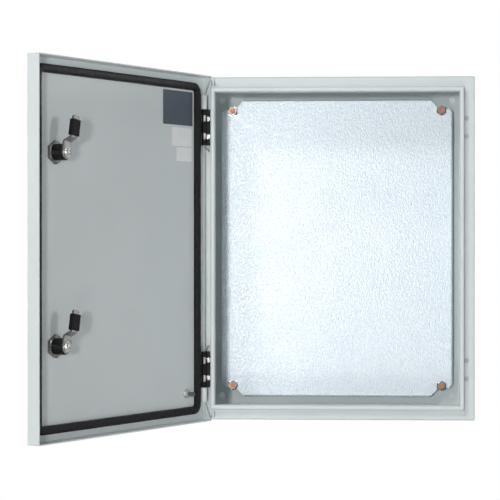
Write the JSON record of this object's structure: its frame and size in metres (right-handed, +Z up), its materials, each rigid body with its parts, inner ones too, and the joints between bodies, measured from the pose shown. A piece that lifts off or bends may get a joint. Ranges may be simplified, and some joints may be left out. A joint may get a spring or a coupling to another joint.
{
  "type": "steel wall enclosure",
  "caption": "Shallow wall-mounted steel cabinet with a hinged gasketed door, cam locks, a folded sealing rim and a galvanised mounting plate on studs.",
  "frame": {"origin": "centre of the four wall holes, on the outer face of the back wall", "axes": "+X to the right seen from the front, +Y into the wall, +Z up"},
  "size_m": [0.5948, 0.4879, 0.5],
  "materials": {
    "body_paint": "fine textured light grey powder coat",
    "door_paint": "fine textured light grey powder coat",
    "gasket_foam": "skinned black foam",
    "seal_rubber": "matt rubber",
    "galvanised_sheet": "hot-dip galvanised, fine spangle",
    "zinc_plated": "bright zinc plated",
    "zinc_diecast": "die-cast, satin",
    "copper_plated": "copper plated",
    "black_plastic": "moulded black polyamide",
    "lock_black": "black glass-filled polyamide, threaded"
  },
  "bodies": {
    "cabinet": {"body_shell": "body_paint", "hinge_hole_plugs": "body_paint", "gland_plate": "body_paint", "gland_gasket": "gasket_foam", "gland_studs": "zinc_plated", "gland_nuts": "zinc_plated", "plate_studs": "copper_plated", "plate_spacers": "zinc_plated", "mounting_plate": "galvanised_sheet", "plate_washers": "zinc_plated", "plate_nuts": "zinc_plated", "hinge_block_upper": "black_plastic", "hinge_block_lower": "black_plastic", "hinge_screws": "zinc_plated", "hinge_nuts": "zinc_plated"},
    "door": {"door_panel": "door_paint", "door_gasket": "gasket_foam", "door_knuckle_upper": "door_paint", "door_knuckle_lower": "door_paint", "earth_stud": "copper_plated", "earth_washer": "zinc_plated", "earth_nut": "zinc_plated", "lock_seals": "seal_rubber", "lock_housing_upper": "lock_black", "lock_housing_lower": "lock_black", "lock_nut_upper": "zinc_plated", "lock_nut_lower": "zinc_plated"},
    "upper_cam": {"lock_insert_upper": "zinc_diecast", "cam_upper": "zinc_plated", "cam_sleeve_upper": "black_plastic", "cam_washer_upper": "zinc_plated", "cam_screw_upper": "zinc_plated"},
    "lower_cam": {"lock_insert_lower": "zinc_diecast", "cam_lower": "zinc_plated", "cam_sleeve_lower": "black_plastic", "cam_washer_lower": "zinc_plated", "cam_screw_lower": "zinc_plated"},
    "upper_pin": {"hinge_pin_upper": "zinc_plated"},
    "lower_pin": {"hinge_pin_lower": "zinc_plated"}
  },
  "joints": [
    {"name": "door_swing", "type": "hinge", "parent": "cabinet", "child": "door", "pos_m": [-0.1925, -0.142, 0], "axis": [0, 0, 1], "range_deg": [0, 120]},
    {"name": "upper_cam_turn", "type": "hinge", "parent": "door", "child": "upper_cam", "pos_m": [-0.36738, -0.4319, 0.126], "axis": [0.866, -0.5, 0], "range_deg": [0, 100]},
    {"name": "lower_cam_turn", "type": "hinge", "parent": "door", "child": "lower_cam", "pos_m": [-0.36738, -0.4319, -0.126], "axis": [0.866, -0.5, 0], "range_deg": [0, 100]},
    {"name": "upper_pin_pull", "type": "slide", "parent": "cabinet", "child": "upper_pin", "axis": [0, 0, -1], "range_m": [0, 0.022]},
    {"name": "lower_pin_pull", "type": "slide", "parent": "cabinet", "child": "lower_pin", "axis": [0, 0, 1], "range_m": [0, 0.022]}
  ]
}
